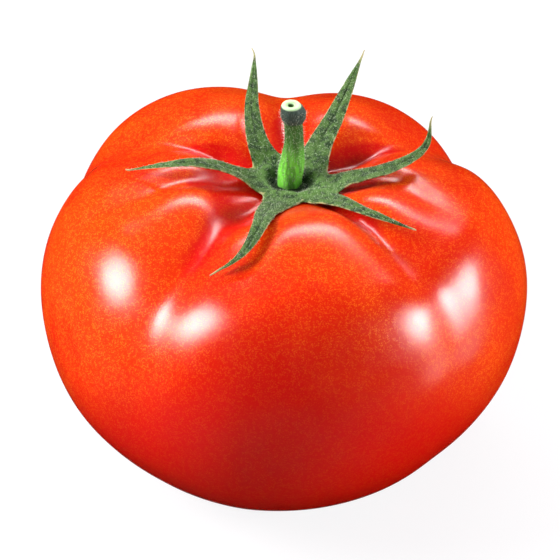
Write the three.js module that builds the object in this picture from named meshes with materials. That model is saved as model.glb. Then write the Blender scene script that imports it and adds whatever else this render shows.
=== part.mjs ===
// A ribbed beefsteak tomato as it is picked: one fruit that stands on the small flat spot at its blossom end,
// and in the hollow of its shoulders a green calyx with a short cut stalk. The calyx is a base that hugs the
// skin and six leafy sepals, each a piece of its own, as they pull off one by one.
//
// Millimetres and degrees, +Z up. The origin is on the surface that the fruit rests on, under the middle of
// the fruit. Azimuths are counted from +X towards +Y, and +Y is the back.

import * as THREE from 'three';
import { LoftGeometry } from 'three/addons/geometries/LoftGeometry.js';

const { degToRad, euclideanModulo, lerp, smoothstep } = THREE.MathUtils;

// --- Driving dimensions -------------------------------------------------------------------------------------

const FRUIT_RADIUS = 47.5;
const FRUIT_HEIGHT = 63.4;
const FOOT_RADIUS = 12;
const HOLLOW_DEPTH = 7; // from the shoulders' crest down to the floor that the calyx sits on
const HOLLOW_FLOOR = FRUIT_HEIGHT - HOLLOW_DEPTH;
const JOINT_GAP = 0.3; // between pieces that touch

// Half of the fruit's upright section, as [radius, height]: from the edge of the foot round the side, over
// the shoulder and down to the middle of the hollow.
const OUTLINE = [
  [FOOT_RADIUS, 0],
  [0.46 * FRUIT_RADIUS, 0.025 * FRUIT_HEIGHT],
  [0.71 * FRUIT_RADIUS, 0.093 * FRUIT_HEIGHT],
  [0.93 * FRUIT_RADIUS, 0.297 * FRUIT_HEIGHT],
  [FRUIT_RADIUS, 0.525 * FRUIT_HEIGHT],
  [0.943 * FRUIT_RADIUS, 0.727 * FRUIT_HEIGHT],
  [0.78 * FRUIT_RADIUS, 0.89 * FRUIT_HEIGHT],
  [0.435 * FRUIT_RADIUS, FRUIT_HEIGHT],
  [0.25 * FRUIT_RADIUS, HOLLOW_FLOOR + 0.42 * HOLLOW_DEPTH],
  [0.13 * FRUIT_RADIUS, HOLLOW_FLOOR + 0.06 * HOLLOW_DEPTH],
  [0, HOLLOW_FLOOR],
];

// The core that the furrows draw the skin towards, a flat disc inside the fruit.
const CORE_RADIUS = 20;
const CORE_HEIGHT = 28;

// Places along the outline, as shares of its length.
const FOOT_RIM = 0.215;
const WIDEST = 0.41;
const SHOULDER = 0.765;
const HOLLOW_WALL = 0.86;
const HOLLOW_EDGE = 0.97;

// The furrows between the lobes. Each is deepest at the shoulder and runs out at `end`, a place on the
// outline, apart from the share `low` of its depth, which it keeps down to the rim of the foot.
const FURROWS = [
  { at: 28.5, depth: 6.3, width: 14, end: 0.02, low: 0.33 },
  { at: 92, depth: 5.2, width: 16, end: 0.02, low: 0.3 },
  { at: 158, depth: 4.2, width: 12, end: 0.02, low: 0.24 },
  { at: 195, depth: 2.6, width: 6, end: 0.59, low: 0 },
  { at: 234, depth: 4.6, width: 13, end: 0.15, low: 0.05 },
  { at: 257, depth: 1.6, width: 4, end: 0.65, low: 0 },
  { at: 309, depth: 2.6, width: 6, end: 0.61, low: 0 },
  { at: 316, depth: 1.8, width: 13, end: 0.10, low: 0.2 },
  { at: 341, depth: 2.4, width: 7, end: 0.65, low: 0 },
];

// The fruit isn't quite round: how many bulges go round it, their share of the radius, and where one is.
const BULGES = [
  { count: 1, share: 0.045, at: 186 },
  { count: 2, share: 0.015, at: 100 },
  { count: 3, share: 0.028, at: 9 },
];

// Webs are the notches between the sepals, and the base of the calyx reaches out to them.
const WEBS = [
  { azimuth: 88, radius: 5.0, lift: 1.3 },
  { azimuth: 153, radius: 7.5, lift: 1.3 },
  { azimuth: 227, radius: 7.0, lift: 1.3 },
  { azimuth: 286, radius: 9.0, lift: 1.3 },
  { azimuth: 326, radius: 10.6, lift: 1.3 },
  { azimuth: 7, radius: 7.0, lift: 1.3 },
];

// Each sepal starts between two webs and runs over its waypoints, [azimuth, radius, height over the floor of
// the hollow], the last one its tip. `width` is the width of its blade.
const SEPALS = [
  { name: 'sepal_back_left', width: 3.8, way: [[130, 8.8, 4], [118, 15, 8], [111, 19, 10.5], [105, 25.3, 13]] },
  { name: 'sepal_left', width: 3.6, way: [[193, 11, 5], [194, 17, 7.8], [191, 23, 7.5], [182, 30, 3.8]] },
  { name: 'sepal_front_left', width: 4, way: [[254, 15, 4], [256, 22, 6.2], [253, 29, 4.5], [245, 33, 1.6]] },
  { name: 'sepal_front_right', width: 3.4, way: [[310, 14, 3.9], [311, 22, 5.5], [319, 30, 4]] },
  { name: 'sepal_right', width: 4.2, way: [[343, 11.5, 3.8], [348, 19.4, 6.8], [1, 25.3, 8.5], [7, 26.2, 12.5]] },
  { name: 'sepal_back_right', width: 4.6, way: [[51, 9.9, 4.8], [54, 14.3, 7], [57, 19, 9], [61, 28.7, 12]] },
];
const SEPAL_THICKNESS = 0.9;
const ROOT_SHARE = 0.3; // of a sepal's length, over which its root turns into the blade
const ROOT_NARROWING = 7; // how fast the root narrows to the blade's width
const TIP_HALF_WIDTH = 0.15;
const TIP_THINNING = 0.45; // thickness at the tip, as a share of the root's

const SEAT_HEIGHT = 1.0; // of the stalk's seat over the hollow's floor
const STALK_HEIGHT = 16.5;
const STALK_BOW = 0.9; // how far its neck leans towards +X
const PITH_RADIUS = 0.5;
const PITH_DEPTH = 1.0;

// The stalk tapers from its seat to a neck, swells into a knuckle and ends in a flat cut with a pith hole:
// [radius, height over the seat], from the middle of the seat to the bottom of the hole.
const STALK_SECTION = [
  [0, 0],
  [2.2, 0],
  [2.4, 1.0],
  [2.3, 3.5],
  [1.9, 6.5],
  [1.65, 9.5],
  [1.65, 12.3],
  [2.15, 13.9],
  [2.15, 15.1],
  [1.65, STALK_HEIGHT],
  [PITH_RADIUS, STALK_HEIGHT],
  [PITH_RADIUS, STALK_HEIGHT - PITH_DEPTH],
  [0, STALK_HEIGHT - PITH_DEPTH],
];

// How finely each piece is divided.
const FRUIT_COLUMNS = 80;
const FRUIT_ROWS = 46;
const SIDE_COLUMNS = 6;
const SEPAL_ROWS = 18;
const SEPAL_COLUMNS = 10;
const STALK_COLUMNS = 18;

// --- Skin of the fruit --------------------------------------------------------------------------------------

const outline = new THREE.SplineCurve(OUTLINE.map(([radius, height]) => new THREE.Vector2(radius, height)));

function polar(azimuth, radius, height) {
  const angle = degToRad(azimuth);
  return new THREE.Vector3(radius * Math.cos(angle), radius * Math.sin(angle), height);
}

// Degrees between two azimuths, the short way round.
function turn(from, to) {
  return euclideanModulo(to - from + 180, 360) - 180;
}

// 1 in the middle of a furrow, falling off to both sides so that rounded lobes meet in a soft crease.
function crease(x) {
  const softness = 0.35;
  return Math.exp(softness - Math.hypot(x, softness));
}

function furrowDepth(azimuth, place) {
  const outsideHollow = 1 - smoothstep(place, HOLLOW_WALL, HOLLOW_EDGE);
  return FURROWS.reduce((sum, { at, depth, width, end, low }) => {
    const downTheSide = lerp(smoothstep(place, end, SHOULDER), smoothstep(place, 0, FOOT_RIM), low);
    return sum + depth * crease(turn(at, azimuth) / width) * downTheSide * outsideHollow;
  }, 0);
}

function bulge(azimuth, place) {
  const outsideFoot = smoothstep(place, 0, WIDEST);
  const outsideHollow = 1 - smoothstep(place, SHOULDER, HOLLOW_EDGE);
  return BULGES.reduce(
    (sum, { count, share, at }) =>
      sum + share * Math.cos(count * degToRad(azimuth - at)) * outsideFoot * outsideHollow,
    1,
  );
}

// The point of the skin at an azimuth, `place` of the way along the outline. A furrow draws it in towards
// the core, so that the shoulders sink and the sides pull in.
function skin(azimuth, place) {
  const point = outline.getPointAt(place);
  const core = new THREE.Vector2(Math.min(point.x, CORE_RADIUS), CORE_HEIGHT);
  const inward = core.sub(point).normalize();
  point.addScaledVector(inward, furrowDepth(azimuth, place));
  return polar(azimuth, point.x * bulge(azimuth, place), point.y);
}

// Height of the fruit's upper side at an azimuth and radius, found by halving.
function skinHeight(azimuth, radius) {
  let outer = WIDEST;
  let inner = 1;
  for (let i = 0; i < 24; i++) {
    const middle = (outer + inner) / 2;
    const point = skin(azimuth, middle);
    if (Math.hypot(point.x, point.y) > radius) outer = middle;
    else inner = middle;
  }
  return skin(azimuth, inner).z;
}

// Azimuths of the fruit's columns, closest together in the creases, where the skin bends most.
function columnAzimuths(count) {
  const steps = 3600;
  const weights = Array.from({ length: steps }, (_, i) =>
    FURROWS.reduce((sum, { at, width }) => sum + 2 * crease((2 * turn(at, (360 * i) / steps)) / width), 1),
  );
  const total = weights.reduce((sum, weight) => sum + weight, 0);
  const azimuths = [];
  let sum = 0;
  weights.forEach((weight, i) => {
    if (sum >= (azimuths.length * total) / count) azimuths.push((360 * i) / steps);
    sum += weight;
  });
  return azimuths;
}

function makeFruit() {
  const azimuths = columnAzimuths(FRUIT_COLUMNS);
  const rows = Array.from({ length: FRUIT_ROWS }, (_, row) =>
    azimuths.map((azimuth) => skin(azimuth, row / (FRUIT_ROWS - 1))),
  );
  return new LoftGeometry(rows, { capStart: true });
}

// --- Calyx and stalk ----------------------------------------------------------------------------------------

function web(index) {
  const { azimuth, radius, lift } = WEBS[index % WEBS.length];
  return polar(azimuth, radius, skinHeight(azimuth, radius) + lift);
}

// The base is a six-sided dish that lies in the hollow, with a raised ring round the seat of the stalk.
function makeCalyxBase() {
  const edge = WEBS.flatMap((_, i) =>
    Array.from({ length: SIDE_COLUMNS }, (_, k) => web(i).lerp(web(i + 1), k / SIDE_COLUMNS)),
  );
  // Rings from the middle of the underside, round the edge, to the middle of the upper side: the share of
  // the way out to the edge, the share of the edge's rise over the hollow's floor, and a height over that.
  const rings = [
    { out: 0.30, rise: 0, over: JOINT_GAP },
    { out: 0.65, rise: 0.35, over: JOINT_GAP },
    { out: 1.00, rise: 1, over: -SEPAL_THICKNESS },
    { out: 1.00, rise: 1, over: 0 },
    { out: 0.85, rise: 0.8, over: 0.5 },
    { out: 0.72, rise: 0.5, over: 1.0 },
    { out: 0.55, rise: 0.1, over: 0.6 },
    { out: 0.38, rise: 0, over: SEAT_HEIGHT },
  ];
  const rows = rings.map(({ out, rise, over }) =>
    edge.map((p) => new THREE.Vector3(p.x * out, p.y * out, lerp(HOLLOW_FLOOR, p.z, rise) + over)),
  );
  return new LoftGeometry(rows, { capStart: true, capEnd: true });
}

// Half the width of a sepal at a share of its length: as wide as its side of the base, then a blade that
// narrows slowly and ends in a point.
function halfWidth(share, rootWidth, width) {
  const flare = (rootWidth - width) * Math.exp(-ROOT_NARROWING * share) * (1 - share);
  const blade = width * (1 - share ** 2.5) * lerp(1, 0.75, share);
  return Math.max((flare + blade) / 2, TIP_HALF_WIDTH);
}

function makeSepal({ width, way }, index) {
  const from = web(index);
  const to = web(index + 1);
  const root = from.clone().lerp(to, 0.5);
  const waypoints = way.map(([azimuth, radius, height]) => polar(azimuth, radius, HOLLOW_FLOOR + height));
  root.z -= SEPAL_THICKNESS / 2;
  root.addScaledVector(new THREE.Vector3(to.y - from.y, from.x - to.x, 0).normalize(), JOINT_GAP);
  const spine = new THREE.CatmullRomCurve3([root, ...waypoints]);
  const rootWidth = from.distanceTo(to);

  const rows = Array.from({ length: SEPAL_ROWS }, (_, row) => {
    const share = row / (SEPAL_ROWS - 1);
    const centre = spine.getPointAt(share);
    const along = spine.getTangentAt(share);
    // The root lies along its side of the base, and the blade turns square to the spine within a few rows.
    const square = new THREE.Vector3(-along.y, along.x, 0).normalize();
    const side = to.clone().sub(from).normalize();
    const across = side.lerp(square, smoothstep(share, 0, ROOT_SHARE)).normalize();
    const up = new THREE.Vector3().crossVectors(along, across).normalize();
    const half = halfWidth(share, rootWidth, width);
    const thickness = SEPAL_THICKNESS * lerp(1, TIP_THINNING, share);
    return Array.from({ length: SEPAL_COLUMNS }, (_, k) => {
      const angle = (2 * Math.PI * k) / SEPAL_COLUMNS;
      return centre
        .clone()
        .addScaledVector(across, half * Math.cos(angle))
        .addScaledVector(up, 0.5 * thickness * Math.sin(angle));
    });
  });
  return new LoftGeometry(rows, { capStart: true, capEnd: true });
}

function makeStalk() {
  const section = STALK_SECTION.map(([radius, height]) => new THREE.Vector2(radius, height));
  const stalk = new THREE.LatheGeometry(section, STALK_COLUMNS).rotateX(Math.PI / 2);
  const position = stalk.getAttribute('position');
  for (let i = 0; i < position.count; i++) {
    const share = position.getZ(i) / STALK_HEIGHT;
    position.setX(i, position.getX(i) + STALK_BOW * Math.sin(0.9 * Math.PI * share));
  }
  stalk.translate(0, 0, HOLLOW_FLOOR + SEAT_HEIGHT + JOINT_GAP);
  return stalk;
}

// --- Assembly -----------------------------------------------------------------------------------------------

const ripeRed = { color: 0xd8240c, roughness: 0.25, metalness: 0 };
const leafGreen = { color: 0x4c7a3c, roughness: 0.75, metalness: 0 };
const stalkGreen = { color: 0x5b9438, roughness: 0.7, metalness: 0 };

const tomato = new THREE.Group();

function add(name, geometry, finish) {
  const mesh = new THREE.Mesh(geometry, new THREE.MeshStandardMaterial(finish));
  mesh.name = name;
  tomato.add(mesh);
}

add('fruit', makeFruit(), ripeRed);
add('calyx_base', makeCalyxBase(), leafGreen);
SEPALS.forEach((sepal, index) => add(sepal.name, makeSepal(sepal, index), leafGreen));
add('stalk', makeStalk(), stalkGreen);

// The stalk isn't quite over the middle of the fruit, so all of it moves until the middle is on the origin.
const middle = new THREE.Box3().setFromObject(tomato).getCenter(new THREE.Vector3());
tomato.position.set(-middle.x, -middle.y, 0);

export default tomato;
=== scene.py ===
# %% [markdown]
# # A ribbed tomato, as picked
# A beefsteak tomato is one swollen berry whose shoulders fold into lobes round a hollow. In the hollow
# sits the calyx, a green star of six sepals, and from its middle rises the cut stalk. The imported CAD
# model already has the true sizes and places of all nine pieces, so everything here starts from it and
# only makes it look alive.
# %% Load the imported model
import math
import random

import bmesh
import bpy
from mathutils import Matrix, Vector, noise
from mathutils.bvhtree import BVHTree
from mathutils.geometry import intersect_point_line
from mathutils.kdtree import KDTree


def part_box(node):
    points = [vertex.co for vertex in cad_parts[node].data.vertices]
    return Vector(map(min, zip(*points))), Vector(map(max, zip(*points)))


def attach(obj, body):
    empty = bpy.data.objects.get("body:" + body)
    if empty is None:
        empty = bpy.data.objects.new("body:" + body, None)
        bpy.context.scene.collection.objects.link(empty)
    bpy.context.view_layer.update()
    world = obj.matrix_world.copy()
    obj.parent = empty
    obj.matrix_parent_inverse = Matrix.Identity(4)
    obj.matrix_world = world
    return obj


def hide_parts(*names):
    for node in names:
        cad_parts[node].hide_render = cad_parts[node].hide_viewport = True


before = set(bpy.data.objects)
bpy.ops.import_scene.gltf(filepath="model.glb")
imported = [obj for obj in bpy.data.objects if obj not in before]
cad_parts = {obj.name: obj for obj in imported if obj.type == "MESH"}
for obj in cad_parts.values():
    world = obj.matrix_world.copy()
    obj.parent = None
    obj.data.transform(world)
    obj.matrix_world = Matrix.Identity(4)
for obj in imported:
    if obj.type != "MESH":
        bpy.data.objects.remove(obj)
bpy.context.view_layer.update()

MM = 0.001                # everything is in metres
UP = Vector((0, 0, 1))
scene = bpy.context.scene

# %% [markdown]
# ## Where things are
# Every place comes from the frame. The stalk's axis isn't over the middle of the fruit, as on most real
# tomatoes, so it's measured from the foot of the stalk. A merged copy of a CAD node is a tidy mesh that
# can be cut, cast rays at or smoothed, and the node itself stays as it is.
# %% Measure the frame
MERGE_DISTANCE = 0.001 * MM
CUT_TOLERANCE = 0.0001 * MM
FOOT_SLICE = 0.1 * MM     # corners this close to the stalk's lowest point belong to its foot


def merged_copy(node):
    """A bmesh of a CAD node, with the loose triangles joined at their shared corners."""
    bm = bmesh.new()
    bm.from_mesh(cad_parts[node].data)
    bmesh.ops.remove_doubles(bm, verts=bm.verts, dist=MERGE_DISTANCE)
    return bm


def corners_of(geometry):
    """The vertices in a list of mixed geometry."""
    return [g for g in geometry if isinstance(g, bmesh.types.BMVert)]


def cut_corners(solid, point, direction):
    """The corners of the section where a plane cuts a solid."""
    bm = solid.copy()
    geometry = bm.verts[:] + bm.edges[:] + bm.faces[:]
    cut = bmesh.ops.bisect_plane(bm, geom=geometry, plane_co=point, plane_no=direction, dist=CUT_TOLERANCE)
    places = [v.co.copy() for v in corners_of(cut["geom_cut"])]
    bm.free()
    return places


def middle_of(places):
    return sum(places, Vector()) / len(places)


def smoothstep(x, low, high):
    """0 below the low value, 1 above the high one, and a smooth S between them."""
    share = min(max((x - low) / (high - low), 0.0), 1.0)
    return share * share * (3 - 2 * share)


def bell(x, width):
    """1 in the middle, falling off smoothly to both sides."""
    return math.exp(-((x / width) ** 2))


stalk_solid = merged_copy("stalk")
stalk_low, stalk_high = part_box("stalk")
STALK_LENGTH = stalk_high.z - stalk_low.z
stalk_foot = middle_of([v.co for v in stalk_solid.verts if v.co.z < stalk_low.z + FOOT_SLICE])
AXIS = Vector((stalk_foot.x, stalk_foot.y, 0))
print("stalk axis in mm:", round(AXIS.x / MM, 2), round(AXIS.y / MM, 2))
print("stalk length in mm:", round(STALK_LENGTH / MM, 1))

# %% [markdown]
# ## Camera, floor and light
# The camera looks down at the tomato at 38 degrees through a long lens, from a little over half a metre.
# It is the first thing made, so that every later look can be judged. Small helpers for shader nodes come
# next, because the floor is the first thing that needs a material. The tomato stands on a plain pale
# floor.
# %% Camera
ELEVATION = math.radians(38)
DISTANCE = 0.55
AIM_HEIGHT = 0.03
SENSOR_WIDTH = 36         # in mm, as on a full-frame camera
LENS = 184.63             # in mm
SHIFT = (-0.0166, 0.0282)  # in widths of the frame
CLIP_START = 0.01

target = AXIS + UP * AIM_HEIGHT
camera = bpy.data.objects.new("camera", bpy.data.cameras.new("camera"))
scene.collection.objects.link(camera)
camera.location = target + DISTANCE * Vector((0, -math.cos(ELEVATION), math.sin(ELEVATION)))
camera.rotation_euler = (math.pi / 2 - ELEVATION, 0, 0)
camera.data.sensor_width = SENSOR_WIDTH
camera.data.lens = LENS
camera.data.shift_x, camera.data.shift_y = SHIFT
camera.data.clip_start = CLIP_START
scene.camera = camera
scene.view_settings.view_transform = "Standard"
print("camera at", [round(c, 3) for c in camera.location])


# %% Node helpers
def add_node(tree, kind, inputs=None, **settings):
    """Adds a shader node, sets its properties, and fills its inputs with values or other nodes' outputs."""
    node = tree.nodes.new("ShaderNode" + kind)
    for name, value in settings.items():
        setattr(node, name, value)
    for name, value in (inputs or {}).items():
        if isinstance(value, bpy.types.NodeSocket):
            tree.links.new(value, node.inputs[name])
        else:
            node.inputs[name].default_value = value
    return node


def blend(tree, share, first, second):
    """Mixes two colours, each a value or another node's output, and returns the mixed output."""
    node = tree.nodes.new("ShaderNodeMix")
    node.data_type = "RGBA"
    for socket, value in ((node.inputs[0], share), (node.inputs[6], first), (node.inputs[7], second)):
        if isinstance(value, bpy.types.NodeSocket):
            tree.links.new(value, socket)
        else:
            socket.default_value = value if isinstance(value, float) else (*value, 1.0)
    return node.outputs[2]


def compute(tree, operation, *values):
    """A Math node, with its values given in order."""
    return add_node(tree, "Math", dict(enumerate(values)), operation=operation).outputs[0]


def remap(tree, value, low, high, to_low=0.0, to_high=1.0):
    """Maps a range of a value smoothly to another range."""
    inputs = {"Value": value, "From Min": low, "From Max": high, "To Min": to_low, "To Max": to_high}
    return add_node(tree, "MapRange", inputs, interpolation_type="SMOOTHSTEP").outputs["Result"]


def distance_from(tree, place, point):
    return add_node(tree, "VectorMath", {0: place, 1: tuple(point)}, operation="DISTANCE").outputs["Value"]


def new_material(name):
    material = bpy.data.materials.new(name)
    material.use_nodes = True
    tree = material.node_tree
    return material, tree, tree.nodes["Principled BSDF"]


def spots(tree, place, scale, detail=2.0, roughness=0.6):
    """Noise in Object coordinates. Its scale is in lumps per metre."""
    inputs = {"Vector": place, "Scale": scale, "Detail": detail, "Roughness": roughness}
    return add_node(tree, "TexNoise", inputs).outputs["Fac"]


# %% [markdown]
# A white studio would lay a pink veil over the deep red skin, because the wax mirrors whatever is round
# it. So the floor and the sky look white to the camera, nearly black to mirrored rays, and dim to the
# light that dull surfaces gather. The Light Path node tells these rays apart. The floor's look to the
# camera is mostly a glow, with a share of real lit paint that brings the soft shadow. Far off, where the
# lamps don't reach, the glow is a little stronger, so that no edge shows against the sky.
# %% Floor and sky
FLOOR_SIZE = 6.0
FLOOR_PAINT = (0.62, 0.62, 0.63)
FLOOR_SEEN = (0.93, 0.93, 0.94)
FLOOR_GLOW = (1.17, 1.36)       # strength by the tomato and far off
FLOOR_FADE = (0.25, 0.9)        # distances from the tomato between which the glow grows
LIT_SHARE = 0.2                 # share of the lit paint in what the camera sees
FLOOR_BOUNCED = (0.5, 0.48, 0.47)        # how dull surfaces see the floor
FLOOR_MIRRORED = (0.004, 0.004, 0.004)   # how glossy surfaces see it
FILL_LIGHT = 0.23               # strength of the sky on dull surfaces, over that in glossy ones
MIRRORED_LIGHT = 0.03           # strength of the sky in glossy ones

bm = bmesh.new()
bmesh.ops.create_grid(bm, x_segments=1, y_segments=1, size=FLOOR_SIZE / 2)
floor_mesh = bpy.data.meshes.new("floor")
bm.to_mesh(floor_mesh)
bm.free()
floor = bpy.data.objects.new("floor", floor_mesh)
scene.collection.objects.link(floor)

material, tree, shader = new_material("pale_floor")
shader.inputs["Base Color"].default_value = (*FLOOR_PAINT, 1)
shader.inputs["Roughness"].default_value = 0.9
shader.inputs["Specular IOR Level"].default_value = 0.1
place = add_node(tree, "TexCoord").outputs["Object"]
away = add_node(tree, "VectorMath", {0: place}, operation="LENGTH").outputs["Value"]
strength = remap(tree, away, *FLOOR_FADE, *FLOOR_GLOW)
glow = add_node(tree, "Emission", {"Color": (*FLOOR_SEEN, 1), "Strength": strength})
seen = add_node(tree, "MixShader", {0: LIT_SHARE, 1: glow.outputs[0], 2: shader.outputs[0]})
bounced = add_node(tree, "BsdfDiffuse", {"Color": (*FLOOR_BOUNCED, 1)})
mirrored = add_node(tree, "BsdfDiffuse", {"Color": (*FLOOR_MIRRORED, 1)})
rays = add_node(tree, "LightPath").outputs
sides = {0: rays["Is Glossy Ray"], 1: bounced.outputs[0], 2: mirrored.outputs[0]}
unseen = add_node(tree, "MixShader", sides)
look = add_node(tree, "MixShader", {0: rays["Is Camera Ray"], 1: unseen.outputs[0], 2: seen.outputs[0]})
tree.links.new(look.outputs[0], tree.nodes["Material Output"].inputs["Surface"])
floor_mesh.materials.append(material)

world = bpy.data.worlds.new("studio")
world.use_nodes = True
scene.world = world
tree = world.node_tree
rays = add_node(tree, "LightPath").outputs
fill = compute(tree, "MULTIPLY_ADD", rays["Is Diffuse Ray"], FILL_LIGHT, MIRRORED_LIGHT)
strength = compute(tree, "ADD", rays["Is Camera Ray"], fill)
tree.links.new(strength, tree.nodes["Background"].inputs["Strength"])
tree.nodes["Background"].inputs["Color"].default_value = (1, 1, 1, 1)
print("floor", FLOOR_SIZE, "m wide")


# %% [markdown]
# Four soft lights shape the highlights: a big box high on the left, one low on the right, a wide one
# behind and above that draws the long highlight on the front lobe, and a small weak card close by, low on
# the right, for the faint highlight below the right one. Each is brightest in its middle and fades to its
# edge, so that its reflection in the wax has a soft outline, as a lamp behind a diffuser gives.
# %% Soft lights
LIGHT_TARGET = AXIS + UP * 0.035
EDGE_AND_CORE = (0.5, 0.16)     # distances from a light's middle, in its own widths: dark, and fully bright


def soft_light(name, azimuth, elevation, distance, width, height, power):
    """An area light aimed at the tomato. The azimuth counts in degrees from +X to +Y, the size is in metres
    and the power in watts."""
    turn, rise = math.radians(azimuth), math.radians(elevation)
    towards = Vector((math.cos(turn) * math.cos(rise), math.sin(turn) * math.cos(rise), math.sin(rise)))
    light = bpy.data.lights.new(name, "AREA")
    light.shape = "RECTANGLE"
    light.size, light.size_y, light.energy = width, height, power
    light.use_nodes = True
    tree = light.node_tree
    spot = add_node(tree, "NewGeometry").outputs["Parametric"]
    off = distance_from(tree, spot, (0.5, 0.5, 0))
    tree.links.new(remap(tree, off, *EDGE_AND_CORE), tree.nodes["Emission"].inputs["Strength"])
    lamp = bpy.data.objects.new(name, light)
    scene.collection.objects.link(lamp)
    lamp.location = LIGHT_TARGET + distance * towards
    lamp.rotation_euler = (-towards).to_track_quat("-Z", "Y").to_euler()
    lamp.visible_camera = False


soft_light("left_box", 186, 35, 0.60, 0.42, 0.48, 16.5)
soft_light("right_box", 351, 12, 0.60, 0.34, 0.34, 9.5)
soft_light("back_box", 82, 53, 0.62, 0.95, 0.17, 8.5)
soft_light("low_card", 337, -8, 0.107, 0.05, 0.04, 0.012)
print("soft lights:", [light.name for light in bpy.data.lights])

# %% [markdown]
# ## The fruit
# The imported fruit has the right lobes, furrows and hollow, but flat facets. Its merged copy has nearly
# only four-sided faces once pairs of triangles are joined, and a Subdivision Surface then rounds them
# without moving them much. Only the foot is made anew: there the CAD has one big cap, and a real tomato
# has a small corky scar where the blossom was, so the cap is inset in rings that can sink into a dimple.
# %% Fruit: quads and a ringed foot
FOOT_RINGS = [1.8, 1.7, 1.6, 1.5, 1.3, 1.1, 0.9, 0.7, 0.5]     # widths in mm, from the rim inwards
WIDE_OPEN = 3.1           # in radians: joins nearly every pair of triangles
FOOT_BELOW = 0.05 * MM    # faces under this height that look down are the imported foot

fruit_bm = merged_copy("fruit")
foot_faces = [f for f in fruit_bm.faces if f.normal.z < -0.99 and f.calc_center_median().z < FOOT_BELOW]
cap = bmesh.ops.dissolve_faces(fruit_bm, faces=foot_faces)["region"][0]
bmesh.ops.join_triangles(
    fruit_bm,
    faces=[f for f in fruit_bm.faces if f != cap],
    angle_face_threshold=WIDE_OPEN,
    angle_shape_threshold=WIDE_OPEN,
)
for ring in FOOT_RINGS:
    bmesh.ops.inset_region(fruit_bm, faces=[cap], thickness=ring * MM, use_even_offset=True)
foot_middle = cap.calc_center_median()
bmesh.ops.poke(fruit_bm, faces=[cap])
print("fruit:", len(fruit_bm.faces), "faces, foot at", [round(c / MM, 2) for c in foot_middle])

# %% [markdown]
# The skin's colour follows its shape: the crests ripen to orange, the furrows stay deep red, darker as
# painted shade.
# So the mesh carries an attribute that says how far each point lies in a furrow. It comes from smoothing:
# in a copy that is smoothed many times the furrows fill up, and the way that a point has moved outwards
# is its depth. Close to the stalk the imported furrows are first softened a little, because finer creases
# take their place there later.
# %% Fruit: furrow depth from smoothing
SMOOTHINGS = 90
FIXED_HEIGHT = 2 * MM     # the foot stays as it is up to here
CREASED_ZONE = 34 * MM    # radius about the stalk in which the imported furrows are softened
CREASED_HEIGHT = 45 * MM  # and only above this
ZONE_SMOOTHINGS = 6


def smooth_often(bm, verts, times):
    for _ in range(times):
        bmesh.ops.smooth_vert(bm, verts=verts, factor=0.5, use_axis_x=True, use_axis_y=True, use_axis_z=True)


def from_axis(point):
    """Level distance from the stalk's axis."""
    return (point - AXIS).to_2d().length


inner_verts = [v for v in fruit_bm.verts if v.co.z > CREASED_HEIGHT and from_axis(v.co) < CREASED_ZONE]
smooth_often(fruit_bm, inner_verts, ZONE_SMOOTHINGS)
fruit_bm.normal_update()
sharp = {v.index: (v.co.copy(), v.normal.copy()) for v in fruit_bm.verts}
smoothed = fruit_bm.copy()
smoothed.verts.ensure_lookup_table()
smooth_often(smoothed, [v for v in smoothed.verts if v.co.z > FIXED_HEIGHT], SMOOTHINGS)
furrow = fruit_bm.verts.layers.float.new("furrow")
fruit_bm.verts.ensure_lookup_table()
for v in fruit_bm.verts:
    place, normal = sharp[v.index]
    v[furrow] = (smoothed.verts[v.index].co - place).dot(normal) / MM
smoothed.free()
depths = [v[furrow] for v in fruit_bm.verts]
print("furrow depth in mm: from", round(min(depths), 2), "to", round(max(depths), 2))


# %% [markdown]
# Two helpers serve every piece. One makes a finished object of a bmesh. The other applies a Subdivision
# Surface and hands back a fine bmesh, because creases, veins and ribs are finer than the faces that
# they're pressed into.
# %% Helpers: finished pieces and fine meshes
def finish_piece(name, bm, materials, replaced=()):
    """Makes a smooth-shaded object of a bmesh, rides it on the root body and hides the imported parts it
    replaces.
    """
    mesh = bpy.data.meshes.new(name)
    bm.to_mesh(mesh)
    bm.free()
    mesh.shade_smooth()
    for material in materials:
        mesh.materials.append(material)
    piece = bpy.data.objects.new(name, mesh)
    scene.collection.objects.link(piece)
    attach(piece, "root")
    if replaced:
        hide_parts(*replaced)
    return piece


def baked_bmesh(bm, levels):
    """The bmesh after a Subdivision Surface of so many levels, to be shaped further."""
    mesh = bpy.data.meshes.new("coarse")
    bm.to_mesh(mesh)
    bm.free()
    coarse = bpy.data.objects.new("coarse", mesh)
    scene.collection.objects.link(coarse)
    subdivision = coarse.modifiers.new("subdivision", "SUBSURF")
    subdivision.levels = subdivision.render_levels = levels
    evaluated = coarse.evaluated_get(bpy.context.evaluated_depsgraph_get())
    fine = bmesh.new()
    fine.from_mesh(evaluated.to_mesh())
    evaluated.to_mesh_clear()
    bpy.data.objects.remove(coarse)
    bpy.data.meshes.remove(mesh)
    return fine
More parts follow.
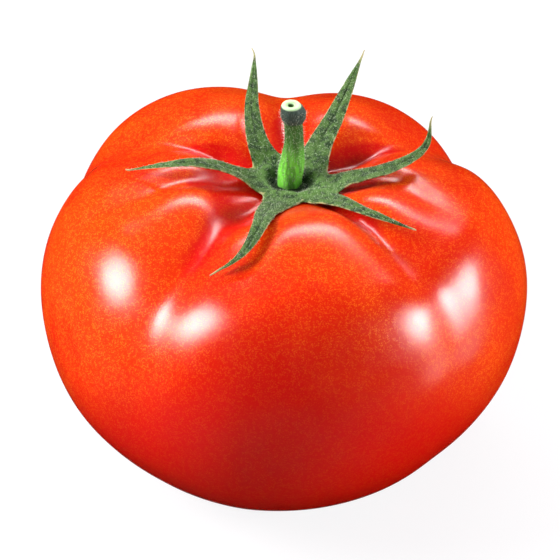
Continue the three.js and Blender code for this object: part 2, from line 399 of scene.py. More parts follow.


# %% [markdown]
# Near the calyx the lobes fold into soft creases that curve as they run out. They're too fine for the
# imported solid, so they're pressed into the fine mesh along short drawn lines. Each line is a list of
# azimuths and radii about the stalk, and the skin round it sinks along its normal in a bell-shaped
# trough. The deep red of a furrow spreads wider than the trough, partly its own colour and partly painted
# shade. Under the foot the blossom has left a small star-shaped dimple.
# %% Fruit: creases, lumps and the blossom scar
CREASES = [          # way: (degrees, mm) from the stalk outwards; depth and width in mm
    {"way": [(176, 8), (180, 12.5), (190, 17), (194, 22), (196, 29)], "depth": 0.6, "width": 2.2},
    {"way": [(152, 10), (154, 16), (157, 22), (158, 32)], "depth": 0.6, "width": 2.0},
    {"way": [(221, 8), (226, 15), (231, 24), (237, 34), (239, 49)], "depth": 0.8, "width": 5.0},
    {"way": [(262, 16), (259, 24), (256, 30), (254, 35)], "depth": 0.4, "width": 2.2},
    {"way": [(311, 12), (311, 18), (313, 23), (311, 30)], "depth": 0.8, "width": 2.2},
    {"way": [(343, 9), (347, 12), (349, 17), (348, 21), (344, 26)], "depth": 0.6, "width": 2.0},
    {"way": [(30, 10), (29, 16), (31, 22), (33, 32)], "depth": 0.6, "width": 2.2},
    {"way": [(92, 12), (93, 22), (92, 34)], "depth": 0.4, "width": 3.0},
    {"way": [(313, 27), (317, 38), (319, 48)], "depth": 0.42, "width": 5.5},
]
CREASE_LOW = 36 * MM      # the creases come up from nothing at this height ...
CREASE_HIGH = 46 * MM     # ... to their full depth at this one
FADE_IN = 0.3             # share of a crease's length over which it begins
FADE_OUT = 0.45           # share over which it ends
# The deep red round a crease is partly painted shade.
RED_AND_SHADE_SPREAD = 2.0          # how much wider the deep red runs than the crease itself
REDDENING_AND_SHADE = 2.8           # how strongly it counts as a furrow
LUMP_HEIGHT = 0.12 * MM
LUMP_SIZE = 14 * MM
SKIN_SWELL = 0.25 * MM    # makes up for what the subdivision shrinks
SKIN_FREE = (1 * MM, 6 * MM)   # heights between which lumps and swelling come in over the flat foot
SEAT_DEPTH = 1.6 * MM     # how far the hollow's floor sinks under the calyx
SEAT_RADII = (3.5 * MM, 7.5 * MM)
SCAR_RADIUS = 2.6 * MM
SCAR_DEPTH = 0.7 * MM
SCAR_POINTS = 5
SCAR_BELOW = 0.5 * MM     # only the flat foot takes the scar


def plan_point(azimuth, radius):
    turn = math.radians(azimuth)
    return AXIS + Vector((math.cos(turn), math.sin(turn), 0)) * radius * MM


def crease_at(point, lines):
    """How far a point of the skin sinks into the creases, and how deep it counts for the red and painted
    shade, in metres.
    """
    sunk, redder_and_shaded = 0.0, 0.0
    for ends, depth, width in lines:
        nearest, along = 1.0, 0.0
        for number, (start, end) in enumerate(zip(ends, ends[1:])):
            share = min(max(intersect_point_line(point, start, end)[1], 0.0), 1.0)
            distance = (point - start.lerp(end, share)).length
            if distance < nearest:
                nearest, along = distance, (number + share) / (len(ends) - 1)
        fade = smoothstep(along, 0, FADE_IN) * smoothstep(1 - along, 0, FADE_OUT)
        sunk += depth * fade * bell(nearest, width)
        redder_and_shaded += depth * fade * bell(nearest, width * RED_AND_SHADE_SPREAD)
    return sunk, redder_and_shaded


crease_lines = [
    ([plan_point(*step) for step in crease["way"]], crease["depth"] * MM, crease["width"] * MM)
    for crease in CREASES
]

fruit_bm = baked_bmesh(fruit_bm, 2)
fruit_bm.normal_update()
furrow = fruit_bm.verts.layers.float["furrow"]
for v in fruit_bm.verts:
    out = (v.co - foot_middle).to_2d().length
    swell = SKIN_SWELL + noise.noise(v.co / LUMP_SIZE) * LUMP_HEIGHT
    move = v.normal * swell * smoothstep(v.co.z, *SKIN_FREE)
    if v.co.z > CREASE_LOW:
        depth, redder_and_shaded = crease_at(Vector((v.co.x, v.co.y, 0)), crease_lines)
        strength = smoothstep(v.co.z, CREASE_LOW, CREASE_HIGH)
        seat = SEAT_DEPTH * (1 - smoothstep(from_axis(v.co), *SEAT_RADII))
        move -= v.normal * depth * strength + UP * seat
        # partly painted shade: the wider red round each crease counts as furrow in the skin's colour
        v[furrow] += REDDENING_AND_SHADE * redder_and_shaded * strength / MM
    v.co += move
    if v.co.z < SCAR_BELOW:
        angle = math.atan2(v.co.y - foot_middle.y, v.co.x - foot_middle.x)
        star = SCAR_RADIUS * (1 + 0.25 * math.cos(SCAR_POINTS * angle + 0.6))
        dimple = SCAR_DEPTH * (1 - smoothstep(out, 0.2 * star, 2.2 * star))
        v.co.z = max(v.co.z, 0) + dimple
print("fine fruit:", len(fruit_bm.faces), "faces")


# %% [markdown]
# Tomato skin is a thin glossy wax over flesh that light enters, so the material has a fairly smooth
# reflection and a little subsurface scattering. Its pattern has four layers: orange on the crests, partly
# ripening and partly painted light where the lamps fall; deep red in the furrows and towards the foot,
# partly painted shade; slow patches of ripeness; and over all thousands of tiny golden specks. Round specks
# come from a Voronoi texture whose cells are about a quarter of a millimetre wide, thinned out by a noise.
# %% Material: ripe skin
RIPE_RED = (0.58, 0.002, 0.0006)
CREST_ORANGE = (0.72, 0.033, 0.001)
# painted shade: a darker red for the deepest furrows and the hollow
FURROW_SHADE_RED = (0.3, 0.0008, 0.0004)
SPECK_GOLD = (0.95, 0.26, 0.01)
CORK_BROWN = (0.23, 0.11, 0.045)
# The orange grows upwards, backwards and to the sides: partly ripening, partly painted light where the lamps
# fall.
RIPE_AND_LIT_BEHIND = 0.6          # how much a place further back counts as higher up
RIPE_AND_LIT_ASIDE = 0.4           # and a place further to either side
RIPE_AND_LIT_HEIGHTS = (14 * MM, 42 * MM)   # of that weighted height, from no orange to full
FOOT_HEIGHTS = (4 * MM, 24 * MM)     # true heights between which the foot's red ends
PATCHES_PER_METRE = 50
SPECKS_PER_METRE = 3600
GRAIN_PER_METRE = 1300
SCAR_RIM = (3.4 * MM, 2.2 * MM)      # distances from the scar's middle, no cork and full cork


def skin_material():
    material, tree, shader = new_material("ripe_skin")
    place = add_node(tree, "TexCoord").outputs["Object"]
    axes = add_node(tree, "SeparateXYZ", {0: place})
    depth = add_node(tree, "Attribute", attribute_name="furrow").outputs["Fac"]

    # partly painted light: more orange higher up, further back and to both sides, where the lamps fall
    ripe_and_lit = compute(tree, "MULTIPLY_ADD", axes.outputs["Y"], RIPE_AND_LIT_BEHIND, axes.outputs["Z"])
    aside = compute(tree, "MULTIPLY", compute(tree, "ABSOLUTE", axes.outputs["X"]), RIPE_AND_LIT_ASIDE)
    ripe_and_lit = compute(tree, "ADD", ripe_and_lit, aside)
    # the foot stays red, partly ripening and partly painted shade under the fruit
    above = remap(tree, axes.outputs["Z"], *FOOT_HEIGHTS)
    upper = compute(tree, "MULTIPLY", remap(tree, ripe_and_lit, *RIPE_AND_LIT_HEIGHTS), above)
    crest = remap(tree, depth, 0.4, -0.6)
    patches = remap(tree, spots(tree, place, PATCHES_PER_METRE), 0.38, 0.62, 0.4, 1.0)
    orange = compute(tree, "MULTIPLY", compute(tree, "MULTIPLY", upper, crest), patches)
    colour = blend(tree, orange, RIPE_RED, CREST_ORANGE)
    # painted shade: the deepest furrows and the hollow darken towards a dark red
    colour = blend(tree, remap(tree, depth, 0.9, 3.2, 0.0, 0.75), colour, FURROW_SHADE_RED)

    cells = add_node(tree, "TexVoronoi", {"Vector": place, "Scale": SPECKS_PER_METRE, "Randomness": 1.0})
    dots = remap(tree, cells.outputs["Distance"], 0.65, 0.2)
    grain = remap(tree, spots(tree, place, GRAIN_PER_METRE, 3.0), 0.36, 0.6)
    specks = compute(tree, "MULTIPLY", dots, grain)
    strength = compute(tree, "MULTIPLY", specks, remap(tree, orange, 0.0, 1.0, 0.12, 0.5))
    colour = blend(tree, strength, colour, SPECK_GOLD)

    scar = distance_from(tree, place, foot_middle)
    ragged = compute(tree, "ADD", scar, compute(tree, "MULTIPLY", grain, 0.8 * MM))
    corky = remap(tree, ragged, *SCAR_RIM)
    colour = blend(tree, corky, colour, CORK_BROWN)
    tree.links.new(colour, shader.inputs["Base Color"])

    dull = remap(tree, spots(tree, place, 260), 0.3, 0.7, 0.21, 0.26)
    rough = compute(tree, "MAXIMUM", dull, compute(tree, "MULTIPLY", corky, 0.85))
    tree.links.new(rough, shader.inputs["Roughness"])
    relief = add_node(tree, "Bump", {"Height": specks, "Distance": 0.04 * MM, "Strength": 0.2})
    tree.links.new(relief.outputs[0], shader.inputs["Normal"])
    shader.inputs["Subsurface Weight"].default_value = 0.12
    shader.inputs["Subsurface Radius"].default_value = (6 * MM, 1.2 * MM, 0.4 * MM)
    shader.inputs["Subsurface Scale"].default_value = 1.0
    shader.inputs["IOR"].default_value = 1.5
    return material


fruit = finish_piece("fruit_skin", fruit_bm, [skin_material()], ["fruit"])
print("fruit piece:", fruit.name, len(fruit.data.polygons), "faces")

# %% [markdown]
# ## The calyx
# The six sepals grow out of one disc, so the star is one sheet. It's grown as in the editor: a small
# circle round the stalk is extruded outwards ring by ring until it reaches the notches between the
# sepals, and then each side of that six-sided rim is extruded row by row along its sepal. To know where
# the rows go, each packed sepal is sliced by a plane that walks from its root to its tip. The notches are
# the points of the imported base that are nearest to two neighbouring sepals.
# %% Calyx: notches and slices
SLICE_STEP = 1.2 * MM
TURN_LENGTH = 8 * MM      # from the root to where the rows lie square to the sepal
FOLLOWING = 0.6           # how closely the walk follows a bend from one slice to the next
NOTCH_INSET = 0.98        # a ray beside the very edge of the base would miss it

base_solid = merged_copy("calyx_base")
base_tree = BVHTree.FromBMesh(base_solid)


def azimuth_about_axis(point):
    return math.atan2(point.y - AXIS.y, point.x - AXIS.x) % (2 * math.pi)


def base_height(point, otherwise):
    """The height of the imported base's upper side at a point, or another value beside the base."""
    hit = base_tree.ray_cast(Vector((point.x, point.y, 1)), -UP)[0]
    return hit.z if hit else otherwise


def nearest_finder(solid):
    finder = KDTree(len(solid.verts))
    for index, v in enumerate(solid.verts):
        finder.insert(v.co, index)
    finder.balance()
    return finder


def azimuth_of(solid):
    return azimuth_about_axis(middle_of([v.co for v in solid.verts]))


sepal_solids = {name: merged_copy(name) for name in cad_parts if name.startswith("sepal_")}
sepal_names = sorted(sepal_solids, key=lambda name: azimuth_of(sepal_solids[name]))
finders = {name: nearest_finder(solid) for name, solid in sepal_solids.items()}


def notch_between(first, second):
    """The point of the base's upper rim between two neighbouring sepals."""
    rim = min(
        (v.co for v in base_solid.verts),
        key=lambda p: finders[first].find(p)[2] + finders[second].find(p)[2],
    )
    inner = AXIS + (rim - AXIS) * NOTCH_INSET
    return Vector((rim.x, rim.y, base_height(inner, rim.z)))


def slice_sepal(solid, left, right):
    """Walks from a sepal's root to its tip and returns the two margins' points on each slice."""
    middle = (left + right) / 2
    side = (right - left).normalized()
    heading = (middle_of([v.co for v in solid.verts]) - middle).normalized()
    rows = []
    while True:
        middle = middle + heading * SLICE_STEP
        square = Vector((heading.y, -heading.x, 0)).normalized()
        if square.dot(side) < 0:
            square.negate()
        across = side.lerp(square, smoothstep(len(rows) * SLICE_STEP, 0, TURN_LENGTH)).normalized()
        plane = across.cross(heading.cross(across)).normalized()
        places = cut_corners(solid, middle, plane)
        if len(places) < 3:
            break
        ends = [min(places, key=across.dot), max(places, key=across.dot)]
        step = (middle_of(ends) - middle + heading * SLICE_STEP).normalized()
        heading = heading.lerp(step, FOLLOWING).normalized()
        middle = middle_of(ends)
        rows.append(ends)
    tip = max((v.co for v in solid.verts), key=lambda p: (p - (left + right) / 2).length)
    return rows, tip.copy()


notches = [notch_between(sepal_names[i - 1], name) for i, name in enumerate(sepal_names)]
sepals = []
for i, name in enumerate(sepal_names):
    left, right = notches[i], notches[(i + 1) % len(notches)]
    rows, tip = slice_sepal(sepal_solids[name], left, right)
    sepals.append({"name": name, "rows": rows, "tip": tip})
    print(name, len(rows), "slices, widest", round(max((b - a).length for a, b in rows) / MM, 1), "mm")

# %% [markdown]
# The sheet lies in the middle of its later thickness. Two attributes go with each point and stay with it
# through every later step: `reach` runs from 0 at the stalk over 1 at the rim of the disc to 2 at the tip
# of a sepal, and `edge` runs from 0 on the midrib to 1 at the margin. Shape and colour both use them.
# %% Calyx: grow the sheet
SIDE_COLUMNS = 8
COLUMNS = SIDE_COLUMNS * len(sepals)
SHEET_THICKNESS = 0.6 * MM
DISC_RINGS = [0.2, 0.3, 0.4, 0.5, 0.6, 0.7, 0.8, 0.9, 1.0]     # shares of the disc's radius
DISC_INSET = 0.97         # the rays that find the disc's height stay inside its edge

calyx_bm = bmesh.new()
column_layer = calyx_bm.verts.layers.int.new("column")
reach_layer = calyx_bm.verts.layers.float.new("reach")
edge_layer = calyx_bm.verts.layers.float.new("edge")


def rim_point(column):
    side, step = divmod(column % COLUMNS, SIDE_COLUMNS)
    return notches[side].lerp(notches[(side + 1) % len(notches)], step / SIDE_COLUMNS)


def margin_share(column):
    """0 on the midrib of a side, 1 at its notches."""
    return abs(2 * (column % SIDE_COLUMNS) / SIDE_COLUMNS - 1)


def disc_point(column, share):
    """A point of the disc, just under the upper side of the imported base."""
    spoke = rim_point(column) - AXIS
    flat = AXIS + spoke * min(share, DISC_INSET)
    place = AXIS + spoke * share
    return Vector((place.x, place.y, base_height(flat, place.z) - SHEET_THICKNESS / 2))


def grow(edges, place, mark):
    """Extrudes a row of edges, then moves and marks each new vertex by its column. Returns the new edges."""
    made = bmesh.ops.extrude_edge_only(calyx_bm, edges=edges)["geom"]
    new_verts = set(corners_of(made))
    for v in new_verts:
        v.co = place(v[column_layer])
        v[reach_layer], v[edge_layer] = mark(v[column_layer])
    return [e for e in made if isinstance(e, bmesh.types.BMEdge) and set(e.verts) <= new_verts]


circle = bmesh.ops.create_circle(calyx_bm, segments=COLUMNS, radius=1.0)["verts"]
for column, v in enumerate(circle):
    v[column_layer] = column
    v.co = disc_point(column, DISC_RINGS[0])
    v[reach_layer] = DISC_RINGS[0]
edges = calyx_bm.edges[:]
for share in DISC_RINGS[1:]:
    edges = grow(
        edges,
        lambda column: disc_point(column, share),
        lambda column: (share, margin_share(column) * smoothstep(share, 0.5, 1.0)),
    )
rim_edges = {}
for e in edges:
    columns = sorted(v[column_layer] for v in e.verts)
    low = columns[1] if columns[1] - columns[0] > 1 else columns[0]
    rim_edges.setdefault(low // SIDE_COLUMNS, []).append(e)
print("disc:", len(calyx_bm.faces), "faces and", len(rim_edges), "sides of", len(rim_edges[0]), "edges")

# %% Calyx: grow the sepals
TIP_LENGTH = 1.0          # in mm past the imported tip, for what the subdivision takes off
TIP_LENGTHS = {"sepal_left": 0.2, "sepal_front_right": 0.2, "sepal_front_left": 0.2, "sepal_right": 0.5}
TIP_WIDTH = 0.2           # of the last slice, on both sides of the tip, so that no face collapses

for side, sepal in enumerate(sepals):
    first = side * SIDE_COLUMNS
    edges = rim_edges[side]
    last_left, last_right = sepal["rows"][-1]
    ahead = (sepal["tip"] - last_left.lerp(last_right, 0.5)).normalized()
    tip = sepal["tip"] + ahead * TIP_LENGTHS.get(sepal["name"], TIP_LENGTH) * MM
    half = (last_right - last_left) * TIP_WIDTH
    rows = sepal["rows"] + [[tip - half, tip + half]]
    for number, (left, right) in enumerate(rows, start=1):
        edges = grow(
            edges,
            lambda column: left.lerp(right, ((column - first) % COLUMNS) / SIDE_COLUMNS),
            lambda column: (1 + number / len(rows), margin_share(column)),
        )
bmesh.ops.recalc_face_normals(calyx_bm, faces=calyx_bm.faces)
if sum(f.normal.z for f in calyx_bm.faces) < 0:
    bmesh.ops.reverse_faces(calyx_bm, faces=calyx_bm.faces)
print("calyx sheet:", len(calyx_bm.faces), "faces")

# %% [markdown]
# After two levels of subdivision the sheet is fine enough to shape like wax. Each sepal gets a groove
# along its midrib, a faint vein on both sides of it, margins that wave, and small lumps. Round the stalk
# the disc sinks into a ring-shaped pit and rises into a low rim. Real sepals are also thickest at the
# midrib and thin at the margin, which a vertex group tells the Solidify modifier. Last, whatever would
# dip into the skin is lifted out of it.
# %% Calyx: shape it and give it thickness
BLADE_FROM = (0.95, 1.25)                # reach at which the disc turns into a blade
TIP_FROM = (1.75, 2.0)                   # reach at which the relief dies out
MIDRIB_DEPTH, MIDRIB_WIDTH = 0.22 * MM, 0.17
VEIN_HEIGHT, VEIN_EDGE, VEIN_WIDTH = 0.06 * MM, 0.5, 0.12
WAVE_HEIGHT, WAVE_LENGTH = 0.22 * MM, 4 * MM
LEAF_LUMP, LUMP_WIDE, LUMP_FINE = 0.09 * MM, 1.3 * MM, 0.5 * MM
PIT_RADIUS, PIT_DEPTH, PIT_WIDTH = 3.1 * MM, 1.5 * MM, 1.1 * MM
RING_RADIUS, RING_HEIGHT, RING_WIDTH = 5.6 * MM, 0.3 * MM, 1.2 * MM
UNEVEN_SIZE = 2.5 * MM
TIP_THINNING, MARGIN_THINNING = 0.55, 0.6
THINNEST = 0.12                          # share of the full thickness
SKIN_CLEARANCE = 0.12 * MM

skin_tree = BVHTree.FromObject(fruit, bpy.context.evaluated_depsgraph_get())
calyx_bm = baked_bmesh(calyx_bm, 2)
calyx_bm.normal_update()
reach_layer = calyx_bm.verts.layers.float["reach"]
edge_layer = calyx_bm.verts.layers.float["edge"]
weight_layer = calyx_bm.verts.layers.deform.verify()
for v in calyx_bm.verts:
    reach, edge = v[reach_layer], v[edge_layer]
    on_disc = 1 - smoothstep(reach, *BLADE_FROM)
    before_tip = 1 - smoothstep(reach, *TIP_FROM)
    on_blade = (1 - on_disc) * before_tip
    groove = -MIDRIB_DEPTH * bell(edge, MIDRIB_WIDTH) * on_blade
    veins = VEIN_HEIGHT * bell(edge - VEIN_EDGE, VEIN_WIDTH) * on_blade
    wave = WAVE_HEIGHT * noise.noise(v.co / WAVE_LENGTH + Vector((7, 0, 0))) * edge**2 * on_blade
    lumps = LEAF_LUMP * (noise.noise(v.co / LUMP_WIDE) + 0.6 * noise.noise(v.co / LUMP_FINE))
    uneven = 1 + 0.5 * noise.noise(v.co / UNEVEN_SIZE)
    pit = -PIT_DEPTH * bell(from_axis(v.co) - PIT_RADIUS, PIT_WIDTH) * uneven * on_disc
    ring = RING_HEIGHT * bell(from_axis(v.co) - RING_RADIUS, RING_WIDTH) * uneven * on_disc
    v.co += v.normal * (groove + veins + wave + lumps * (0.4 + 0.6 * before_tip)) + UP * (pit + ring)

    to_tip = TIP_THINNING * smoothstep(reach, 1.0, 2.0)
    to_margin = MARGIN_THINNING * smoothstep(edge, 0.45, 1.0)
    thickness = (1 - to_tip) * (1 - to_margin)
    v[weight_layer][0] = max(thickness, THINNEST)
    skin_point, skin_normal = skin_tree.find_nearest(v.co)[:2]
    needed = SHEET_THICKNESS * thickness / 2 + SKIN_CLEARANCE
    gap = (v.co - skin_point).dot(skin_normal)
    if gap < needed:
        v.co += skin_normal * (needed - gap)
print("fine calyx sheet:", len(calyx_bm.faces), "faces")

# %% [markdown]
# A tomato's calyx is a dull grey-green, paler round the stalk, darker along the midrib, with a thin
# straw-coloured margin and dry tips. The mottling is shared with the stalk, so it's a node group: it
# turns a place into a mask of dark patches, a mask of pale specks and a relief for the bump, and each
# material mixes its own colours with them.
# %% Node group: plant mottling
def mottle_group():
    group = bpy.data.node_groups.new("plant_mottle", "ShaderNodeTree")
    group.interface.new_socket("Place", in_out="INPUT", socket_type="NodeSocketVector")
    group.interface.new_socket("Patch Size", in_out="INPUT", socket_type="NodeSocketFloat")
    for mask in ("Patches", "Specks", "Relief"):
        group.interface.new_socket(mask, in_out="OUTPUT", socket_type="NodeSocketFloat")
    start = group.nodes.new("NodeGroupInput")
    end = group.nodes.new("NodeGroupOutput")
    place = start.outputs["Place"]
    lumps_per_metre = compute(group, "DIVIDE", 1.0, start.outputs["Patch Size"])
    coarse = spots(group, place, lumps_per_metre, 3.0, 0.7)
    fine = spots(group, place, compute(group, "MULTIPLY", lumps_per_metre, 4.0), 2.0, 0.7)
    group.links.new(remap(group, coarse, 0.46, 0.58), end.inputs["Patches"])
    group.links.new(remap(group, fine, 0.52, 0.68), end.inputs["Specks"])
    group.links.new(compute(group, "MULTIPLY_ADD", fine, 0.5, coarse), end.inputs["Relief"])
    return group


mottle = mottle_group()
print("node group:", mottle.name, [item.name for item in mottle.interface.items_tree])


def mottling(tree, place, patch_size):
    """The outputs of the mottling group in a material: its patches, specks and relief."""
    return add_node(tree, "Group", {"Place": place, "Patch Size": patch_size}, node_tree=mottle).outputs


def add_plant_surface(tree, shader, relief, roughness, bump_height, bump_strength):
    """Roughness between two values and a bump, both from the mottling's relief."""
    tree.links.new(remap(tree, relief, 0.4, 1.0, *roughness), shader.inputs["Roughness"])
    bump = add_node(tree, "Bump", {"Height": relief, "Distance": bump_height, "Strength": bump_strength})
    tree.links.new(bump.outputs[0], shader.inputs["Normal"])


# %% Materials: calyx
STRAW = (0.55, 0.47, 0.22)
LEAF_PATCH = 1.5 * MM
PIT_SHADE = (5.2 * MM, 3.4 * MM)     # distances from the pit's middle, unshaded and fully shaded
BRIGHT_GREEN = 1.7                   # how much brighter the disc is than the blades

pit_middle = Vector((AXIS.x, AXIS.y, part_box("calyx_base")[0].z))


def leaf_material(name, green, dark, pale, margin_width):
    """One side of the calyx in its own green, darkened and paled in patches."""
    material, tree, shader = new_material(name)
    place = add_node(tree, "TexCoord").outputs["Object"]
    reach = add_node(tree, "Attribute", attribute_name="reach").outputs["Fac"]
    edge = add_node(tree, "Attribute", attribute_name="edge").outputs["Fac"]
    pattern = mottling(tree, place, LEAF_PATCH)

    bright = remap(tree, reach, 1.15, 0.75, 0.0, 0.7)
    colour = blend(tree, bright, green, tuple(BRIGHT_GREEN * c for c in green))
    colour = blend(tree, compute(tree, "MULTIPLY", pattern["Patches"], 0.85), colour, dark)
    midrib = compute(tree, "MULTIPLY", remap(tree, edge, 0.22, 0.04), remap(tree, reach, 1.1, 1.35))
    colour = blend(tree, compute(tree, "MULTIPLY", midrib, 0.7), colour, dark)
    colour = blend(tree, compute(tree, "MULTIPLY", pattern["Specks"], 0.7), colour, pale)
    pit = remap(tree, distance_from(tree, place, pit_middle), *PIT_SHADE)
    colour = blend(tree, compute(tree, "MULTIPLY", pit, 0.8), colour, tuple(0.4 * c for c in dark))
    rim = remap(tree, edge, 1 - margin_width, 0.98, 0.0, 0.8)
    margin = compute(tree, "MULTIPLY", rim, remap(tree, spots(tree, place, 900), 0.4, 0.62))
    dry = remap(tree, reach, 1.86, 1.99)
    straw = compute(tree, "MAXIMUM", margin, compute(tree, "MULTIPLY", dry, 0.8))
    colour = blend(tree, straw, colour, STRAW)
    tree.links.new(colour, shader.inputs["Base Color"])

    add_plant_surface(tree, shader, pattern["Relief"], (0.55, 0.8), 0.25 * MM, 0.7)
    shader.inputs["Specular IOR Level"].default_value = 0.25
    shader.inputs["Sheen Weight"].default_value = 0.03
    return material


upper = leaf_material("sepal_upper", (0.056, 0.122, 0.02), (0.006, 0.022, 0.007), (0.24, 0.36, 0.16), 0.1)
under = leaf_material("sepal_under", (0.14, 0.25, 0.08), (0.06, 0.13, 0.04), (0.32, 0.45, 0.25), 0.14)
print("calyx materials:", upper.name, under.name)

# %% Calyx: the finished piece
calyx = finish_piece("calyx", calyx_bm, [upper, under], ["calyx_base", *sepal_names])
calyx.vertex_groups.new(name="thickness")
solidify = calyx.modifiers.new("thickness", "SOLIDIFY")
solidify.thickness = SHEET_THICKNESS
solidify.offset = 0
solidify.vertex_group = "thickness"
solidify.use_even_offset = False
solidify.material_offset = 1
print("calyx piece:", len(calyx.data.polygons), "faces before thickness")

# %% [markdown]
# ## The stalk
# The stalk is grown the same way, upwards: a circle is extruded through the sections that a level plane
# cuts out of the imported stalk, so it keeps that bow and taper. Near the top it swells into the knuckle,
# where the stalk would have let go of the vine, and the cut face on top shows a ring of pale wood round a
# dark pith hole. A mark on every ring tells the material how far up the stalk it is, and past 1 how far
# into the cut face.
# %% Stalk: rings from slices
STALK_SIDES = 40
SECTION_SHARES = [0.005, 0.06, 0.15, 0.27, 0.4, 0.5, 0.58, 0.66, 0.74, 0.79, 0.83, 0.87, 0.91, 0.95, 0.985]
SUNK = 2.2 * MM           # how far the foot goes down into the pit of the calyx
FLARE = 1.12              # how much wider the foot is there

stalk_bm = bmesh.new()
along_layer = stalk_bm.verts.layers.float.new("along")


def stalk_section(share):
    """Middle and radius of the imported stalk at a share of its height."""
    places = cut_corners(stalk_solid, stalk_low + UP * STALK_LENGTH * share, UP)
    middle = middle_of(places)
    return middle, max((p - middle).length for p in places)


def ring_up(bm, edges, middle, radius, layer, value):
    """Extrudes a ring of edges, sets the new ring's middle and radius, and marks it for the material."""
    made = bmesh.ops.extrude_edge_only(bm, edges=edges)["geom"]
    new_verts = corners_of(made)
    old_middle = middle_of([v.co for v in new_verts])
    for v in new_verts:
        spoke = (v.co - old_middle).to_2d().normalized()
        v.co = middle + Vector((spoke.x, spoke.y, 0)) * radius
        v[layer] = value
    return [e for e in made if isinstance(e, bmesh.types.BMEdge) and all(v in new_verts for v in e.verts)]


middle, radius = stalk_section(SECTION_SHARES[0])
foot = Matrix.Translation(middle - UP * SUNK)
bmesh.ops.create_circle(stalk_bm, segments=STALK_SIDES, radius=radius * FLARE, matrix=foot)
edges = stalk_bm.edges[:]
bmesh.ops.contextual_create(stalk_bm, geom=edges)
for share in SECTION_SHARES:
    middle, radius = stalk_section(share)
    edges = ring_up(stalk_bm, edges, middle, radius, along_layer, share)
top_middle, top_radius = middle, radius
print("stalk:", len(SECTION_SHARES), "rings, top radius", round(top_radius / MM, 2), "mm")

# %% Stalk: cut face and pith hole
CUT_RINGS = [          # share of the top radius, height over the last ring in mm, mark for the material
    (0.97, 0.20, 1.00), (0.90, 0.26, 1.02), (0.74, 0.22, 1.05), (0.56, 0.20, 1.08), (0.42, 0.16, 1.12),
    (0.33, 0.02, 1.16), (0.26, -0.55, 1.20), (0.16, -0.70, 1.20),
]
for share, height, mark in CUT_RINGS:
    edges = ring_up(stalk_bm, edges, top_middle + UP * height * MM, top_radius * share, along_layer, mark)
bmesh.ops.contextual_create(stalk_bm, geom=edges)
bmesh.ops.recalc_face_normals(stalk_bm, faces=stalk_bm.faces)
print("cut face:", len(CUT_RINGS), "rings,", len(stalk_bm.faces), "faces in all")

# %% Stalk: ribs and knuckle
RIB_HEIGHT, RIB_COUNT = 0.07 * MM, 7
KNUCKLE_LUMP, KNUCKLE_LUMP_SIZE = 0.16 * MM, 0.9 * MM
KNUCKLE_LEAN = 0.35 * MM  # the knuckle bulges to one side
GRAIN_HEIGHT, GRAIN_SIZE = 0.05 * MM, 0.5 * MM
GRAIN_STRETCH = 0.3       # heights are shrunk to this share, which draws the grain out along the stalk

stalk_bm = baked_bmesh(stalk_bm, 2)
stalk_bm.normal_update()
along_layer = stalk_bm.verts.layers.float["along"]
for v in stalk_bm.verts:
    along = v[along_layer]
    angle = azimuth_about_axis(v.co)
    ribs = RIB_HEIGHT * math.cos(RIB_COUNT * angle + 2 * along) * (1 - smoothstep(along, 0.7, 0.8))
    knuckle = smoothstep(along, 0.76, 0.84) * (1 - smoothstep(along, 0.95, 1.0))
    lumps = KNUCKLE_LUMP * noise.noise(v.co / KNUCKLE_LUMP_SIZE) * knuckle
    lean = KNUCKLE_LEAN * knuckle * max(math.cos(angle - 0.2), 0)
    grain = GRAIN_HEIGHT * noise.noise(Vector((v.co.x, v.co.y, v.co.z * GRAIN_STRETCH)) / GRAIN_SIZE)
    v.co += v.normal * (ribs + lumps + grain * (1 - smoothstep(along, 0.98, 1.0))) + Vector((lean, 0, 0))
print("fine stalk:", len(stalk_bm.faces), "faces")


# %% Material: stalk
FRESH_GREEN = (0.22, 0.75, 0.06)
DEEP_GREEN = (0.03, 0.12, 0.012)
PATCH_GREEN = (0.03, 0.1, 0.015)
SPECK_GREEN = (0.33, 0.5, 0.2)
KNUCKLE_DARK = (0.028, 0.055, 0.04)
KNUCKLE_DUST = (0.17, 0.22, 0.2)
CUT_PALE = (0.56, 0.82, 0.46)
WOOD_RING = (0.3, 0.5, 0.12)
PITH_DARK = (0.05, 0.11, 0.03)
STALK_PATCH = 0.9 * MM


def stalk_material():
    material, tree, shader = new_material("green_stalk")
    place = add_node(tree, "TexCoord").outputs["Object"]
    along = add_node(tree, "Attribute", attribute_name="along").outputs["Fac"]
    stretched = add_node(tree, "Mapping", {"Vector": place, "Scale": (1.0, 1.0, 0.25)}).outputs[0]
    pattern = mottling(tree, stretched, STALK_PATCH)

    colour = blend(tree, remap(tree, along, 0.1, 0.62), FRESH_GREEN, DEEP_GREEN)
    colour = blend(tree, compute(tree, "MULTIPLY", pattern["Patches"], 0.6), colour, PATCH_GREEN)
    colour = blend(tree, compute(tree, "MULTIPLY", pattern["Specks"], 0.4), colour, SPECK_GREEN)
    knuckle = remap(tree, along, 0.77, 0.81)
    colour = blend(tree, knuckle, colour, KNUCKLE_DARK)
    dusty = compute(tree, "MULTIPLY", compute(tree, "MULTIPLY", pattern["Specks"], knuckle), 0.35)
    colour = blend(tree, dusty, colour, KNUCKLE_DUST)
    colour = blend(tree, remap(tree, along, 0.975, 0.995), colour, CUT_PALE)
    wood = compute(tree, "MULTIPLY", remap(tree, along, 1.06, 1.1), remap(tree, along, 1.14, 1.11))
    colour = blend(tree, compute(tree, "MULTIPLY", wood, 0.5), colour, WOOD_RING)
    colour = blend(tree, remap(tree, along, 1.13, 1.18), colour, PITH_DARK)
    tree.links.new(colour, shader.inputs["Base Color"])

    add_plant_surface(tree, shader, pattern["Relief"], (0.5, 0.75), 0.2 * MM, 0.6)
    shader.inputs["Specular IOR Level"].default_value = 0.35
    shader.inputs["Sheen Weight"].default_value = 0.05
    return material


stalk = finish_piece("cut_stalk", stalk_bm, [stalk_material()], ["stalk"])
print("stalk piece:", len(stalk.data.polygons), "faces")

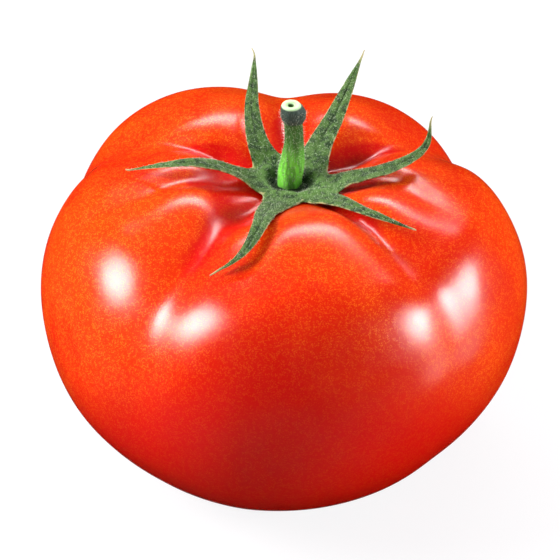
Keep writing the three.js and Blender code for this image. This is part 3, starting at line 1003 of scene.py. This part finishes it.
# %% [markdown]
# ## Fine hairs
# Young stalks and sepals of tomatoes are covered with fine white hairs, under a millimetre long, which
# show as a pale fuzz against the light. Each is a three-sided spike of four faces, and its foot is sunk
# into the surface. Seeded random numbers pick the places. An extrusion doesn't make its faces in the same
# order every time, so they're sorted by their places before the draw, and every run makes the same hairs.
# %% Hairs
HAIR_RADIUS = 0.022 * MM
HAIR_SUNK = 0.08 * MM
HAIR_LEAN = 0.35          # how far they stray from standing straight up
SORTING_STEP = 0.0001 * MM
STALK_HAIRS = 900
CALYX_HAIRS = 3600
HAIR_GREEN, HAIR_WHITE = (0.55, 0.66, 0.42), (0.85, 0.88, 0.74)


def spike_mesh():
    """A three-sided spike, one unit in radius and height, that stands on its origin."""
    bm = bmesh.new()
    upright = Matrix.Translation((0, 0, 0.5))
    bmesh.ops.create_cone(bm, cap_ends=True, segments=3, radius1=1, radius2=0, depth=1, matrix=upright)
    mesh = bpy.data.meshes.new("spike")
    bm.to_mesh(mesh)
    bm.free()
    return mesh


def rounded(place):
    """A place to sort by, in whole tenths of a micrometre."""
    return tuple(round(c / SORTING_STEP) for c in place)


def surface_points(piece, count, chosen, rng):
    """Random points with normals on a piece's evaluated mesh, on the faces that `chosen` accepts."""
    evaluated = piece.evaluated_get(bpy.context.evaluated_depsgraph_get())
    mesh = evaluated.to_mesh()
    faces = sorted((f for f in mesh.polygons if chosen(mesh, f)), key=lambda f: rounded(f.center))
    picked = rng.choices(faces, weights=[f.area for f in faces], k=count)
    found = []
    for face in picked:
        ends = sorted((mesh.vertices[i].co for i in face.vertices), key=rounded)
        shares = [rng.random() + 0.01 for _ in ends]
        point = sum((end * share for end, share in zip(ends, shares)), Vector()) / sum(shares)
        found.append((point, face.normal.copy()))
    evaluated.to_mesh_clear()
    return found


def hair_coat(name, piece, count, chosen, lengths, seed):
    """Hairs of random lengths on the chosen faces of a piece, as one piece of its own."""
    rng = random.Random(seed)
    spike = spike_mesh()
    bm = bmesh.new()
    for point, normal in surface_points(piece, count, chosen, rng):
        lean = Vector([rng.gauss(0, HAIR_LEAN) for _ in range(3)])
        turn = (normal + lean).normalized().to_track_quat("Z", "Y").to_matrix().to_4x4()
        size = Matrix.Diagonal((HAIR_RADIUS, HAIR_RADIUS, rng.uniform(*lengths), 1))
        one = spike.copy()
        one.transform(Matrix.Translation(point - normal * HAIR_SUNK) @ turn @ size)
        bm.from_mesh(one)
        bpy.data.meshes.remove(one)
    bpy.data.meshes.remove(spike)
    coat = finish_piece(name, bm, [hair_material])
    print(name, count, "hairs,", len(coat.data.polygons), "faces")


def hair_finish():
    material, tree, shader = new_material("pale_hair")
    place = add_node(tree, "TexCoord").outputs["Object"]
    tone = spots(tree, place, 400)
    tree.links.new(blend(tree, tone, HAIR_GREEN, HAIR_WHITE), shader.inputs["Base Color"])
    shader.inputs["Roughness"].default_value = 0.5
    return material


def attribute_of(mesh, name, face):
    """The mean of an attribute over a face's corners."""
    values = mesh.attributes[name].data
    return sum(values[i].value for i in face.vertices) / len(face.vertices)


def below_cut(mesh, face):
    return 0.02 < attribute_of(mesh, "along", face) < 0.93


def upward_leaf(mesh, face):
    return face.normal.z > -0.3 and attribute_of(mesh, "reach", face) < 1.97


hair_material = hair_finish()
hair_coat("stalk_hairs", stalk, STALK_HAIRS, below_cut, (0.35 * MM, 0.8 * MM), 11)
hair_coat("calyx_hairs", calyx, CALYX_HAIRS, upward_leaf, (0.25 * MM, 0.55 * MM), 12)
